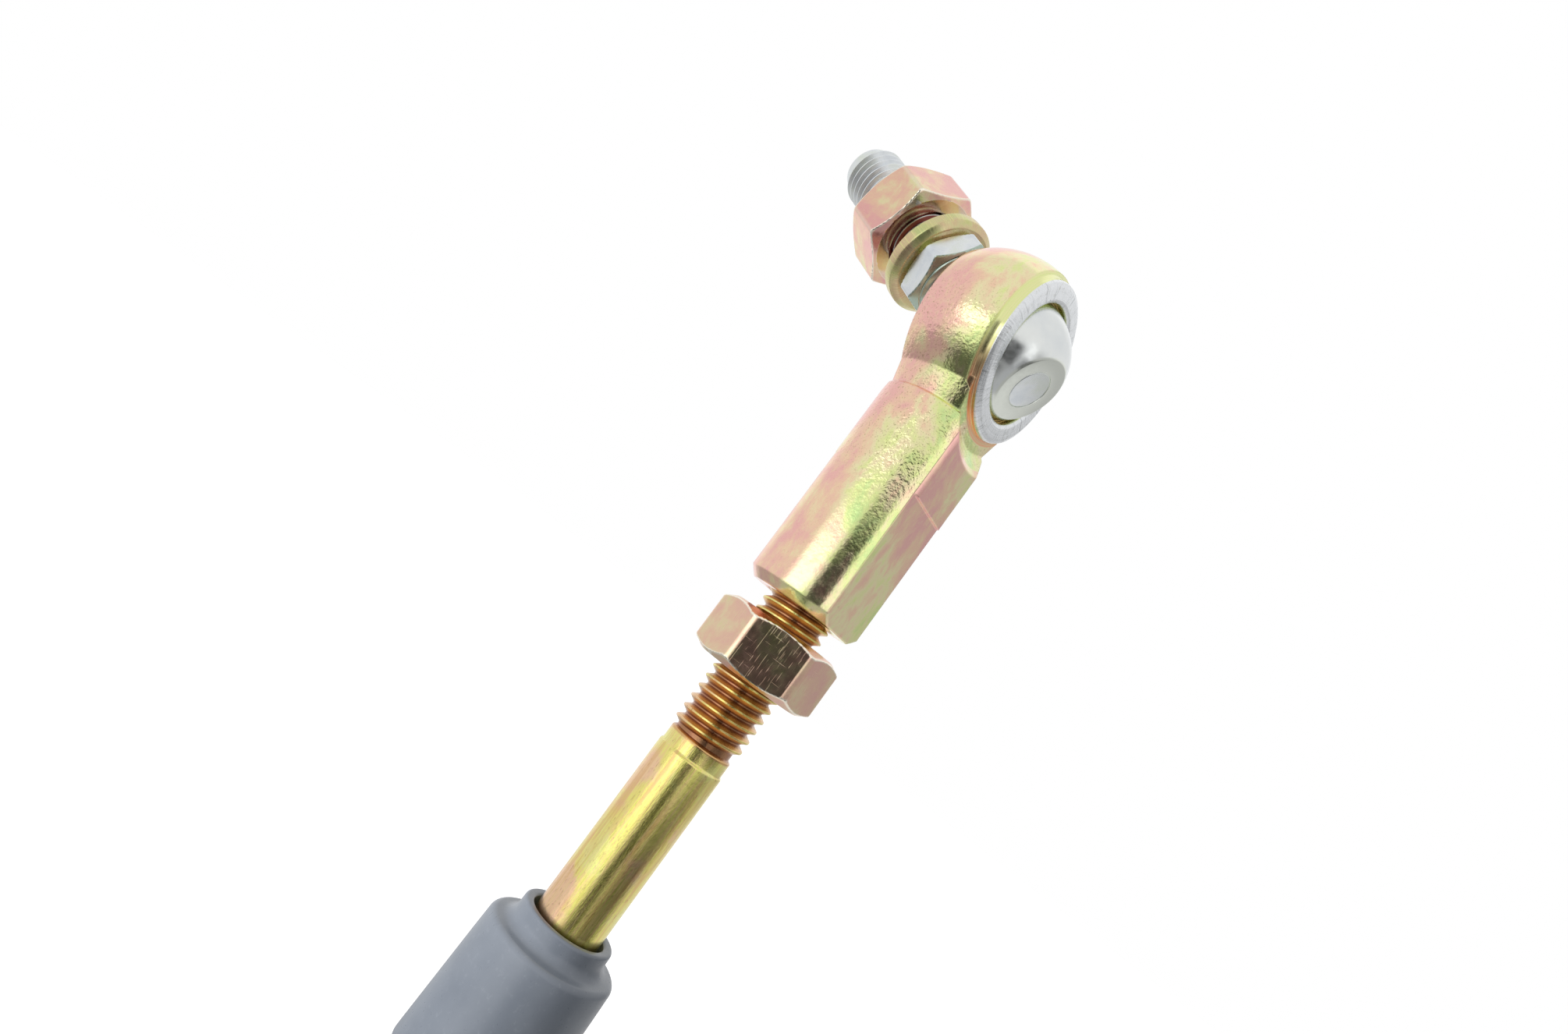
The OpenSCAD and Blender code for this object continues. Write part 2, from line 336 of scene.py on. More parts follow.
def joined(name, *objs):
    """One object from several, boolean-joined so that no wall is left inside."""
    base = objs[0]
    for other in objs[1:]:
        cut(base, other, "UNION")
    base.name = name
    base.data.name = name
    return base


def cut(base, tool, operation="DIFFERENCE"):
    """Applies a boolean with a tool object, which is used up."""
    modifier = base.modifiers.new("cut", "BOOLEAN")
    modifier.operation = operation
    modifier.solver = "MANIFOLD"
    modifier.object = tool
    depsgraph = bpy.context.evaluated_depsgraph_get()
    result = bpy.data.meshes.new_from_object(base.evaluated_get(depsgraph))
    base.modifiers.clear()
    base.data = result
    bpy.data.objects.remove(tool)


# ---------------------------------------------------------------- node helpers


class Nodes:
    """Short names for building one material's node tree."""

    def __init__(self, name):
        self.material = bpy.data.materials.new(name)
        self.material.use_nodes = True
        self.tree = self.material.node_tree
        self.tree.nodes.clear()
        self.place = self.node("ShaderNodeTexCoord").outputs["Object"]

    def node(self, kind, **settings):
        made = self.tree.nodes.new(kind)
        for key, value in settings.items():
            setattr(made, key, value)
        return made

    def feed(self, socket, value):
        if isinstance(value, bpy.types.NodeSocket):
            self.tree.links.new(value, socket)
        elif isinstance(value, tuple) and len(value) == 3 and socket.type == "RGBA":
            socket.default_value = (*value, 1.0)
        else:
            socket.default_value = value

    def math(self, operation, a, b=0.0, c=0.0):
        made = self.node("ShaderNodeMath", operation=operation)
        for socket, value in zip(made.inputs, (a, b, c)):
            self.feed(socket, value)
        return made.outputs[0]

    def span(self, value, low, high, out_low=0.0, out_high=1.0):
        made = self.node("ShaderNodeMapRange", interpolation_type="SMOOTHSTEP")
        for key, v in zip(("Value", "From Min", "From Max", "To Min", "To Max"),
                          (value, low, high, out_low, out_high)):
            self.feed(made.inputs[key], v)
        return made.outputs["Result"]

    def noise(self, size_mm, detail=3.0, stretch=(1, 1, 1), seed=0.0, rough=0.55, distortion=0.0, place=None):
        mapping = self.node("ShaderNodeMapping")
        self.feed(mapping.inputs["Vector"], place or self.place)
        mapping.inputs["Location"].default_value = (seed, seed * 1.7, seed * 0.6)
        mapping.inputs["Scale"].default_value = [1 / (size_mm * MM * s) for s in stretch]
        made = self.node("ShaderNodeTexNoise")
        self.feed(made.inputs["Vector"], mapping.outputs[0])
        made.inputs["Scale"].default_value = 1.0
        made.inputs["Detail"].default_value = detail
        made.inputs["Roughness"].default_value = rough
        made.inputs["Distortion"].default_value = distortion
        return made.outputs["Fac"]

    def ramp(self, value, stops):
        made = self.node("ShaderNodeValToRGB")
        self.feed(made.inputs[0], value)
        elements = made.color_ramp.elements
        while len(elements) < len(stops):
            elements.new(1.0)
        for element, (at, colour) in zip(elements, stops):
            element.position = at
            element.color = (*colour, 1.0)
        return made.outputs[0]

    def mix(self, share, a, b, blend="MIX"):
        made = self.node("ShaderNodeMix", data_type="RGBA", blend_type=blend)
        self.feed(made.inputs["Factor"], share)
        self.feed(made.inputs[6], a)
        self.feed(made.inputs[7], b)
        return made.outputs[2]

    def axis(self, name, place=None):
        made = self.node("ShaderNodeSeparateXYZ")
        self.feed(made.inputs[0], place or self.place)
        return made.outputs[name]

    def radius(self, a, b):
        return self.math("SQRT", self.math("ADD", self.math("MULTIPLY", a, a), self.math("MULTIPLY", b, b)))

    def bump(self, height, distance_mm, strength=1.0, under=None):
        made = self.node("ShaderNodeBump")
        made.inputs["Strength"].default_value = strength
        made.inputs["Distance"].default_value = distance_mm * MM
        self.feed(made.inputs["Height"], height)
        if under is not None:
            self.feed(made.inputs["Normal"], under)
        return made.outputs[0]

    def shader(self, colour, roughness, metallic=1.0, normal=None, **more):
        made = self.node("ShaderNodeBsdfPrincipled")
        self.feed(made.inputs["Base Color"], colour)
        self.feed(made.inputs["Roughness"], roughness)
        self.feed(made.inputs["Metallic"], metallic)
        if normal is not None:
            self.feed(made.inputs["Normal"], normal)
        for key, value in more.items():
            self.feed(made.inputs[key], value)
        out = self.node("ShaderNodeOutputMaterial")
        self.tree.links.new(made.outputs[0], out.inputs["Surface"])
        return self.material


class WorldNodes(Nodes):
    """The same short names for the world's node tree; its place is a direction."""

    def __init__(self, made):
        self.tree = made.node_tree
        self.tree.nodes.clear()
        self.place = self.node("ShaderNodeTexCoord").outputs["Generated"]


# ---------------------------------------------------------------- materials

PALE_GOLD = (0.93, 0.84, 0.50)
PINK = (0.92, 0.52, 0.47)
PEACH = (0.95, 0.66, 0.46)
TAN = (0.86, 0.62, 0.42)
GREEN = (0.60, 0.82, 0.34)
YELLOW_GREEN = (0.82, 0.88, 0.38)
SILVER = (0.86, 0.88, 0.90)
BROWN_RED = (0.36, 0.15, 0.09)
RUST = (0.72, 0.42, 0.18)
SHADE_MAROON = (0.20, 0.06, 0.05)


def zinc_colour(n, patch_mm, stretch=(1, 1, 1), seed=0.0, warmth=0.0):
    """The drifting green, gold and pink of yellow chromate on zinc. Warmth moves it towards pink."""
    drift = n.math("ADD", n.noise(patch_mm, 5.0, stretch, seed, 0.62, 0.3), warmth)
    colour = n.ramp(drift, [(0.30, GREEN), (0.42, YELLOW_GREEN), (0.50, PALE_GOLD), (0.58, PEACH),
                            (0.70, PINK)])
    fine = n.noise(patch_mm * 0.10, 5.0, stretch, seed + 3.0, 0.7)
    return n.mix(n.span(fine, 0.50, 0.72, 0.0, 0.35), colour, PALE_GOLD)


def housing_zinc():
    """Forged dome, milled flats and a turned face, plated yellow, with the swaged lip left bare."""
    n = Nodes("zinc_yellow_housing")
    x, y, z = n.axis("X"), n.axis("Y"), n.axis("Z")
    from_bore = n.radius(x, z)
    flats = n.math("MULTIPLY", n.span(y, -0.0036, -0.00372), n.span(z, -0.0095, -0.0105))
    warmth = n.span(y, -0.0030, 0.0040, -0.05, 0.15)
    warmth = n.math("ADD", warmth, n.math("MULTIPLY", flats, n.span(z, -0.022, -0.034, 0.17, 0.04)))
    colour = zinc_colour(n, 4.2, (1, 1, 1.6), 1.0, warmth)
    turned = n.math("MULTIPLY", n.span(y, -0.00195, -0.00205), n.span(from_bore, 0.01000, 0.00995))
    lines = n.noise(0.10, 2.0, place=vector_of(n, from_bore, y), seed=2.0)
    low = n.span(z, -0.002, -0.007)
    band = n.mix(low, YELLOW_GREEN, (0.93, 0.45, 0.25))
    colour = n.mix(turned, colour, n.mix(n.span(lines, 0.40, 0.65, 0.0, 0.7), band, PALE_GOLD))
    bare = n.math("MULTIPLY", n.span(y, -0.00290, -0.00305), n.span(from_bore, 0.00950, 0.00942))
    smooth = n.math("MAXIMUM", flats, n.math("MAXIMUM", turned, bare))
    inside = n.math("MULTIPLY", n.span(from_bore, 0.0070, 0.0069), n.span(y, 0.0, -0.0005))
    grime = n.noise(0.5, 4.0, seed=12.0, rough=0.7)
    colour = n.mix(bare, colour, n.mix(n.span(grime, 0.56, 0.70, 0.0, 0.6), SILVER, (0.55, 0.56, 0.52)))
    colour = n.mix(inside, colour, YELLOW_GREEN)
    around = n.math("MULTIPLY", n.math("ARCTAN2", z, x), 0.009)
    chatter = n.noise(0.32, 3.0, place=vector_of(n, around, n.math("MULTIPLY", from_bore, 0.12)), seed=8.0)
    marks = n.math("MULTIPLY", bare, n.span(chatter, 0.56, 0.70, 0.0, 0.7))
    colour = n.mix(marks, colour, (0.42, 0.44, 0.45))
    near_neck = n.math("MULTIPLY", n.span(z, -0.024, -0.017, 0.2, 1.0), n.span(z, 0.004, -0.002, 0.2, 1.0))
    near_neck = n.math("MULTIPLY", near_neck, n.span(smooth, 0.0, 1.0, 1.0, 0.0))
    dirt = n.noise(0.9, 6.0, seed=7.0, rough=0.75)
    colour = n.mix(n.span(dirt, 0.64, 0.78, 0.0, 0.5), colour, BROWN_RED)
    specks = n.noise(0.22, 3.0, seed=15.0, rough=0.7)
    speckled = n.math("MULTIPLY", n.span(specks, 0.56, 0.70, 0.0, 0.7), near_neck)
    colour = n.mix(speckled, colour, (0.30, 0.24, 0.10))
    forged = n.noise(0.42, 2.5, seed=4.0, rough=0.55)
    worked = n.span(n.noise(5.0, 2.0, seed=14.0), 0.35, 0.55, 0.35, 1.0)
    forged = n.math("MULTIPLY", forged, n.math("MULTIPLY", worked, near_neck))
    lay = n.noise(0.05, 2.0, stretch=(1, 1, 10), seed=5.0)
    rounding = n.node("ShaderNodeBevel", samples=6)
    rounding.inputs["Radius"].default_value = 0.35 * MM
    normal = n.bump(n.math("MULTIPLY", forged, n.span(smooth, 0.0, 1.0, 1.0, 0.15)), 0.055, 1.0,
                    rounding.outputs[0])
    normal = n.bump(lay, 0.008, 0.25, normal)
    ripples = n.noise(0.16, 1.0, place=vector_of(n, from_bore, y), seed=6.0)
    normal = n.bump(n.math("MULTIPLY", ripples, n.math("MAXIMUM", turned, bare)), 0.03, 0.5, normal)
    normal = n.bump(n.math("MULTIPLY", chatter, bare), 0.06, 0.6, normal)
    rough = n.math("ADD", n.span(dirt, 0.35, 0.75, 0.08, 0.20), n.math("MULTIPLY", bare, 0.14))
    return n.shader(colour, rough, normal=normal)


def vector_of(n, a, b):
    made = n.node("ShaderNodeCombineXYZ")
    n.feed(made.inputs[0], a)
    n.feed(made.inputs[1], b)
    return made.outputs[0]


def stud_place(n):
    """Coordinates turned so that Z runs along the stud."""
    mapping = n.node("ShaderNodeMapping", vector_type="TEXTURE")
    n.feed(mapping.inputs["Vector"], n.place)
    mapping.inputs["Rotation"].default_value = STUD_FRAME.to_euler()
    return mapping.outputs[0]


def hardware_zinc(name, seed, warmth, tan, place_of=None):
    """Plated nut: pink and peach with green patches, scratches on its flats, and painted highlights along its
    edges.
    """
    n = Nodes(name)
    if place_of:
        n.place = place_of(n)
    colour = zinc_colour(n, 4.5, seed=seed, warmth=warmth)
    colour = n.mix(1.0, n.mix(tan, colour, TAN), (0.88, 0.84, 0.86), "MULTIPLY")
    # Painted highlight: edges, found by their pointiness, are lightened to a pale cream.
    edge = n.node("ShaderNodeNewGeometry").outputs["Pointiness"]
    colour = n.mix(n.span(edge, 0.508, 0.540, 0.0, 0.9), colour, (1.0, 0.95, 0.80))
    scratch_a = n.noise(0.10, 2.0, (1, 1, 25), seed + 1)
    scratch_b = n.noise(0.12, 2.0, (30, 30, 1), seed + 2)
    scratches = n.math("ADD", n.span(scratch_a, 0.62, 0.72), n.span(scratch_b, 0.66, 0.74))
    rough = n.math("ADD", n.span(n.noise(1.2, 4.0, seed=seed), 0.3, 0.7, 0.10, 0.20),
                   n.math("MULTIPLY", scratches, 0.12))
    grain = n.noise(0.25, 4.0, seed=seed + 4)
    normal = n.bump(grain, 0.02, 0.25)
    normal = n.bump(scratches, 0.01, 0.3, normal)
    return n.shader(colour, rough, normal=normal)


def washer_zinc():
    """Olive gold, with fine marks across the rim where the wire was drawn and cut."""
    n = Nodes("zinc_yellow_washer")
    n.place = stud_place(n)
    colour = zinc_colour(n, 3.0, seed=9.0)
    colour = n.mix(0.60, colour, (0.52, 0.47, 0.22))
    x, y = n.axis("X"), n.axis("Y")
    around = n.math("MULTIPLY", n.math("ARCTAN2", y, x), 0.0065)
    lines = n.noise(0.20, 3.0, place=vector_of(n, around, 0.0), seed=3.0)
    rim = n.span(n.radius(x, y), 0.00630, 0.00640)
    colour = n.mix(n.math("MULTIPLY", rim, n.span(lines, 0.52, 0.62, 0.0, 0.8)), colour, (0.80, 0.74, 0.34))
    # Painted highlight: edges, found by their pointiness, are lightened to pale gold.
    edge = n.node("ShaderNodeNewGeometry").outputs["Pointiness"]
    colour = n.mix(n.span(edge, 0.52, 0.60, 0.0, 0.8), colour, (0.98, 0.92, 0.66))
    normal = n.bump(n.math("MULTIPLY", lines, rim), 0.03, 0.5)
    return n.shader(colour, n.span(lines, 0.3, 0.7, 0.24, 0.36), normal=normal)


def rod_zinc():
    """The rod: rolled thread whose flanks are painted rust to red-brown, darkest at the root as painted shade
    in the grooves, so the crests stay bright; and a drawn gold shank.
    """
    n = Nodes("zinc_yellow_rod")
    shift = n.node("ShaderNodeMapping")
    n.feed(shift.inputs["Vector"], n.place)
    shift.inputs["Location"].default_value = (0, -ROD_Y * MM, 0)
    n.place = shift.outputs[0]
    x, y, z = n.axis("X"), n.axis("Y"), n.axis("Z")
    from_axis = n.radius(x, y)
    streaks = n.noise(0.22, 4.0, (1, 1, 30), seed=1.0, rough=0.65)
    colour = n.ramp(streaks, [(0.30, (0.78, 0.68, 0.16)), (0.45, (0.88, 0.82, 0.24)),
                              (0.58, (0.90, 0.70, 0.28)), (0.70, (0.90, 0.86, 0.34))])
    drift = n.noise(5.0, 3.0, seed=2.0)
    colour = n.mix(n.span(n.math("ADD", drift, n.span(y, -0.002, 0.003, -0.08, 0.12)), 0.48, 0.66, 0.0, 0.6),
                   colour, PINK)
    colour = n.mix(n.span(drift, 0.45, 0.30, 0.0, 0.4), colour, YELLOW_GREEN)
    flecks = n.noise(0.30, 5.0, (1, 1, 3), seed=5.0, rough=0.75)
    colour = n.mix(n.span(flecks, 0.56, 0.72, 0.0, 0.6), colour, BROWN_RED)
    colour = n.mix(n.span(n.noise(0.9, 3.0, (1, 1, 14), seed=11.0), 0.50, 0.66, 0.0, 0.55), colour, RUST)
    # Painted shade: the thread's flanks turn rust and then red-brown towards the root, darkest deep in the
    # grooves.
    in_thread = n.span(z, -0.0528, -0.0526)
    flank = n.math("MULTIPLY", in_thread, n.span(from_axis, 0.00395, 0.00385, 0.25, 1.0))
    groove_shade = n.mix(n.span(from_axis, 0.0037, 0.0033), RUST, BROWN_RED)
    colour = n.mix(n.math("MULTIPLY", flank, 0.9), colour, groove_shade)
    normal = n.bump(streaks, 0.02, 0.5)
    normal = n.bump(flecks, 0.05, 0.5, normal)
    return n.shader(colour, n.span(streaks, 0.3, 0.7, 0.12, 0.24), normal=normal)


def stud_zinc():
    """Clear zinc: pale blue-white steel with satin grain; its thread under the washer and nut is painted dark
    maroon as shade, and its waist a darker grey-green as a dim reflection.
    """
    n = Nodes("zinc_clear_stud")
    n.place = stud_place(n)
    x, y, z = n.axis("X"), n.axis("Y"), n.axis("Z")
    drift = n.noise(3.0, 4.0, seed=3.0)
    colour = n.ramp(drift, [(0.30, (0.70, 0.74, 0.78)), (0.50, (0.84, 0.87, 0.88)),
                            (0.68, (0.80, 0.84, 0.78))])
    in_thread = n.math("MULTIPLY", n.span(n.radius(x, y), 0.0040, 0.0038), n.span(z, 0.0149, 0.0150))
    # Painted shade: the thread from the collar up through the washer and nut is painted dark maroon, for the
    # shade in the gap between them.
    colour = n.mix(n.math("MULTIPLY", in_thread, n.span(z, 0.0277, 0.0267)), colour, SHADE_MAROON)
    # Painted reflection: the waist between the ball and the collar is darkened to grey-green, standing in for
    # the dim reflection seen there.
    cone = n.math("SUBTRACT", z, n.math("MULTIPLY", n.radius(x, y), 0.577))
    neck = n.math("MULTIPLY", n.span(z, 0.0068, 0.0075), n.span(cone, 0.00902, 0.00894))
    colour = n.mix(n.math("MULTIPLY", neck, 0.85), colour, (0.40, 0.51, 0.41))
    rough = n.math("ADD", n.span(drift, 0.3, 0.7, 0.20, 0.30), n.span(z, 0.026, 0.027, 0.0, 0.14))
    turning = n.noise(0.10, 2.0, (14, 14, 1), seed=4.0)
    return n.shader(colour, rough, normal=n.bump(turning, 0.012, 0.3))


def ball_zinc():
    """The ball: pale satin, with faint turning rings about the stud's axis on its flat pole."""
    n = Nodes("zinc_clear_ball")
    n.place = stud_place(n)
    x, y, z = n.axis("X"), n.axis("Y"), n.axis("Z")
    from_axis = n.radius(x, y)
    drift = n.noise(4.0, 3.0, seed=6.0)
    colour = n.ramp(drift, [(0.30, (0.76, 0.79, 0.80)), (0.65, (0.86, 0.88, 0.86))])
    pole = n.span(z, -0.0056, -0.0058)
    colour = n.mix(n.math("MULTIPLY", pole, 0.7), colour, (0.80, 0.83, 0.74))
    rings = n.noise(0.10, 2.0, place=vector_of(n, from_axis, 0.0), seed=2.0)
    haze = n.noise(0.5, 4.0, seed=8.0)
    normal = n.bump(rings, 0.006, 0.25)
    return n.shader(colour, n.span(haze, 0.3, 0.7, 0.18, 0.26), normal=normal)


def bronze():
    n = Nodes("turned_bronze")
    turning = n.noise(0.12, 3.0, (8, 1, 8), seed=1.0)
    colour = n.ramp(turning, [(0.3, (0.35, 0.24, 0.12)), (0.7, (0.62, 0.45, 0.24))])
    return n.shader(colour, 0.35, normal=n.bump(turning, 0.02, 0.4))


def moulded_rubber():
    """Blue-grey moulded cap: semi-matt, with a fine skin, small dents and a light bloom."""
    n = Nodes("moulded_grey_rubber")
    broad = n.noise(7.0, 3.0, seed=1.0)
    colour = n.ramp(broad, [(0.30, (0.128, 0.145, 0.172)), (0.70, (0.160, 0.178, 0.206))])
    bloom = n.noise(0.7, 5.0, seed=2.0, rough=0.7)
    colour = n.mix(n.span(bloom, 0.55, 0.80, 0.0, 0.22), colour, (0.36, 0.38, 0.41))
    skin = n.noise(0.16, 3.0, seed=3.0)
    waves = n.noise(2.2, 2.0, seed=4.0)
    normal = n.bump(waves, 0.06, 0.5)
    normal = n.bump(skin, 0.012, 0.5, normal)
    return n.shader(colour, n.span(bloom, 0.3, 0.75, 0.27, 0.38), 0.0, normal)


def black_rubber():
    n = Nodes("black_rubber")
    grain = n.noise(0.2, 4.0, seed=1.0)
    colour = n.ramp(grain, [(0.3, (0.020, 0.020, 0.022)), (0.7, (0.045, 0.045, 0.048))])
    return n.shader(colour, 0.55, 0.0, n.bump(grain, 0.02, 0.5))


def natural_plastic():
    n = Nodes("natural_plastic")
    grain = n.noise(0.4, 4.0, seed=1.0)
    colour = n.ramp(grain, [(0.3, (0.70, 0.68, 0.60)), (0.7, (0.80, 0.78, 0.72))])
    return n.shader(colour, 0.42, 0.0, n.bump(grain, 0.01, 0.4))


def drawn_steel():
    """Plated tube: drawn lengthwise, with faint marks along it."""
    n = Nodes("drawn_plated_steel")
    streaks = n.noise(0.25, 4.0, (1, 1, 35), seed=1.0, rough=0.6)
    drift = n.noise(6.0, 3.0, seed=2.0)
    colour = n.ramp(streaks, [(0.30, (0.55, 0.57, 0.58)), (0.70, (0.74, 0.76, 0.76))])
    colour = n.mix(n.span(drift, 0.45, 0.70, 0.0, 0.35), colour, (0.70, 0.68, 0.58))
    return n.shader(colour, n.span(drift, 0.3, 0.7, 0.26, 0.38), normal=n.bump(streaks, 0.012, 0.4))


def paint(obj, material):
    obj.data.materials.clear()
    obj.data.materials.append(material)
    return obj


def piece(obj, body, material, slot, *nodes):
    """Paints a new piece, rides it on its body and lets it stand for its CAD nodes."""
    paint(obj, material)
    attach(obj, body)
    if nodes:
        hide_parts(*nodes)
    return obj


# ---------------------------------------------------------------- the pieces


def swaged_lip():
    """The turned face round the bore, with its steps and the lip rolled over the race, as one crisp ring."""
    outline = [(9.05, 1.2), (9.93, 1.2), (9.95, 1.93), (9.90, 2.02)]
    outline += arc((9.93, 2.66), 0.60, 262, 172, 12) + [(9.27, 3.02), (9.22, 3.10), (9.20, 3.26)]
    outline += arc((8.72, 3.06), 0.47, 32, 88, 6) + arc((7.42, 3.04), 0.50, 90, 180, 10)
    outline += [(LIP_R, 2.3), (LIP_R, 1.2)]
    return lathe("lip_ring", outline, LIP_FRAME, closed=True, segments=RING_SEGMENTS, smooth_deg=26)


def housing():
    """The rod end's body: the CAD solid, its edges eased by its material, and the swaged ring on its face."""
    body = bpy.data.objects.new("housing_body", frame["nodes"]["housing"].data.copy())
    bpy.context.scene.collection.objects.link(body)
    body.data.materials.clear()
    joined("housing_body", body, swaged_lip())
    bore = [(0, 1.0), (LIP_R, 1.0), (LIP_R, 4.2), (0, 4.2)]
    cut(body, lathe("bore", bore, LIP_FRAME, segments=RING_SEGMENTS))
    shade(body.data, 40)
    piece(body, "housing", housing_zinc(), "zinc_yellow", "housing")


def ball():
    """The ball with its flat pole, on the stud's axis."""
    pole = math.degrees(math.asin(POLE_R / BALL_R))
    neck = math.degrees(math.acos(WAIST_R / BALL_R))
    flat = -BALL_R * math.cos(math.radians(pole))
    outline = [(2.42, flat + 0.1), (2.46, flat), (4.0, flat), (4.07, flat + 0.02)]
    outline += arc((0, 0), BALL_R, pole - 90 + 0.6, neck, 56)
    top_z = BALL_R * math.sin(math.radians(neck))
    outline += [(2.3, top_z), (2.3, flat + 0.1)]
    piece(lathe("ball_body", outline, STUD_FRAME, closed=True, smooth_deg=24), "ball", ball_zinc(),
          "zinc_clear", "ball")


def stud():
    """Riveted end, waist and flare, hexagon collar, and a rolled thread to the chamfered tip."""
    low, high = stud_span("ball_stud")
    core = rounded([(0, low + 0.01), (2.36, low + 0.01), (2.36, low + 0.3), (2.08, low + 0.8), (2.08, 6.3),
                    (3.38, 6.35), (3.38, 9.4)], 0.12)
    core += arc((5.4, 9.7), 2.0, 178, 118, 8)[1:] + [(4.60, 11.75), (4.3, 12.2), (0, 12.2)]
    waist = lathe("waist", core, STUD_FRAME)
    collar = hexagon_part("collar", COLLAR_AF, COLLAR_START, COLLAR_END, STUD_FRAME, hex_turn(COLLAR_TURN),
                          chamfer=0.30, corner_blend=0.22)
    thread = threaded_bar("thread", 13.5, high - 0.05, STUD_FRAME, STUD_PITCH, THREAD_R, 0.75)
    whole = joined("stud_body", collar, waist, thread)
    shade(whole.data, 30)
    piece(whole, "stud", stud_zinc(), "zinc_clear", "ball_stud")


def lock_washer():
    """Split spring washer with a bevelled rim; its ends are cut square and slightly set apart."""
    low, high = stud_span("lock_washer")
    inner, outer, gap = 4.06, 6.47, math.radians(7)
    section = rounded([(inner + 0.5, low), (outer - 0.72, low), (outer, low + 0.68), (outer, high),
                       (inner, high), (inner, low), (inner + 0.4, low)], 0.13, 3)
    n = 150
    verts, faces = [], []
    for i in range(n + 1):
        angle = SPLIT_TURN + gap / 2 + (TURN - gap) * i / n
        verts += [(r * math.cos(angle), r * math.sin(angle), z) for r, z in section]
    m = len(section)
    for i in range(n):
        for j in range(m):
            a, b = i * m + j, i * m + (j + 1) % m
            faces.append((a, b, b + m, a + m))
    faces += [tuple(range(m)), tuple(range(n * m, n * m + m))]
    ring = mesh("washer_ring", verts, faces, STUD_FRAME, 28)
    piece(ring, "washer", washer_zinc(), "zinc_yellow_hardware", "lock_washer")


def nuts():
    """The stud's nut and the jam nut, threaded inside."""
    low, high = stud_span("stud_nut")
    nut = hexagon_part("stud_nut_body", NUT_AF, low, high, STUD_FRAME, hex_turn(STUD_NUT_TURN), NUT_BORE_R,
                       STUD_PITCH)
    piece(nut, "stud_nut", hardware_zinc("zinc_yellow_stud_nut", 2.0, 0.10, 0.0, stud_place),
          "zinc_yellow_hardware", "stud_nut")
    jam = hexagon_part("jam_nut_body", NUT_AF, bottom("jam_nut"), top("jam_nut"), ROD_FRAME,
                       hex_turn(JAM_NUT_TURN), NUT_BORE_R, ROD_PITCH, corner_blend=0.75)
    piece(jam, "jam_nut", hardware_zinc("zinc_yellow_jam_nut", 6.0, 0.07, 0.40),
          "zinc_yellow_hardware", "jam_nut")


def hex_turn(corner):
    """A hexagon's first corner is at this angle; hexagon_part counts from the middle of a side."""
    return corner + TURN / 12


def control_rod():
    """Threaded above, plain and drawn below, with the undercut between and a crimp hole in its lower end."""
    low, high = bottom("control_rod"), top("control_rod")
    crimp_r, end, tail, tail_top, r = 1.6, ROD_THREAD_END, ROD_TAIL_R, ROD_TAIL_TOP, ROD_R
    undercut, undercut_len = r - 0.2, 1.7
    outline = [(crimp_r, low), (tail - 0.3, low), (tail, low + 0.3), (tail, tail_top), (r - 0.25, tail_top),
               (r, tail_top + 0.3), (r, end - undercut_len), (undercut, end - undercut_len + 0.2),
               (undercut, end - 0.1), (undercut, end + 0.1), (3.0, end + 0.6),
               (2.0, end + 0.6), (0.5, -90.0), (crimp_r, -92.0)]
    plain = lathe("plain", rounded(outline, 0.12, 3), ROD_FRAME, closed=True)
    thread = threaded_bar("thread", end, high, ROD_FRAME, ROD_PITCH, THREAD_R, 0.8)
    rod = joined("rod_body", plain, thread)
    shade(rod.data, 30)
    piece(rod, "rod", rod_zinc(), "zinc_yellow_rod", "control_rod")


def dust_cap():
    """Moulded cap: lipped neck, concave fillet, rounded shoulder and a long, slightly tapered body."""
    high, low = top("dust_cap"), bottom("dust_cap")
    tube_r = 5.3
    outline = [(4.25, high - 3.4), (4.25, high - 0.45)] + arc((4.55, high - 0.32), 0.30, 180, 90, 5)
    outline += arc((5.0, high - 0.32), 0.32, 90, 0, 6) + [(5.34, high - 1.0)]
    outline += arc((6.55, high - 1.25), 1.20, 180, 262, 10) + arc((6.72, high - 3.25), 0.75, 86, 8, 10)
    outline += [(7.55, high - 6.0), (7.80, low + 1.1)] + arc((7.10, low + 0.70), 0.70, 0, -90, 8)
    outline += [(tube_r, low), (tube_r, -79.4), (5.75, -79.4), (5.75, -77.2), (4.25, -77.2)]
    cap = lathe("cap_body", outline, ROD_FRAME, closed=True, segments=128, smooth_deg=40)
    piece(cap, "tube", moulded_rubber(), "cap_rubber", "dust_cap")


def support_tube():
    """The tube, with the turned seat that goes up into the cap."""
    low = bottom("support_tube")
    outline = rounded([(4.8, low), (5.5, low), (5.5, -93.0), (5.3, -92.9), (5.3, -80.2), (4.5, -80.2),
                       (4.5, low), (4.7, low)], 0.22, 3)
    tube = lathe("tube_body", outline, ROD_FRAME, closed=True)
    piece(tube, "tube", drawn_steel(), "tube_steel", "support_tube")


def carried_over():
    """CAD nodes whose shape is right: they keep their meshes and get their materials."""
    looks = {"front_race": bronze(), "rear_race": bronze(), "wiper_seal": black_rubber(),
             "guide_bush": natural_plastic(), "glide_ring": natural_plastic(), "stop_collar": drawn_steel()}
    for name, material in looks.items():
        paint(frame["nodes"][name], material)


# ---------------------------------------------------------------- stage, light and camera

CAMERA_AT = Vector((-92.1, -48.3, -40.9)) * MM
CAMERA_AIM = Vector((-16.6, -0.5, -30.3)) * MM
CAMERA_ROLL = math.radians(36.8)
LENS = 22.8                   # on a sensor 36 mm wide


def camera():
    data = bpy.data.cameras.new("camera")
    data.lens = LENS
    data.sensor_width = 36
    data.clip_start = 0.005
    data.clip_end = 20
    obj = bpy.data.objects.new("camera", data)
    bpy.context.scene.collection.objects.link(obj)
    turned = (CAMERA_AIM - CAMERA_AT).to_track_quat("-Z", "Y").to_matrix().to_4x4()
    roll = Matrix.Rotation(CAMERA_ROLL, 4, "Z")
    obj.matrix_world = Matrix.Translation(CAMERA_AT) @ turned @ roll
    bpy.context.scene.camera = obj


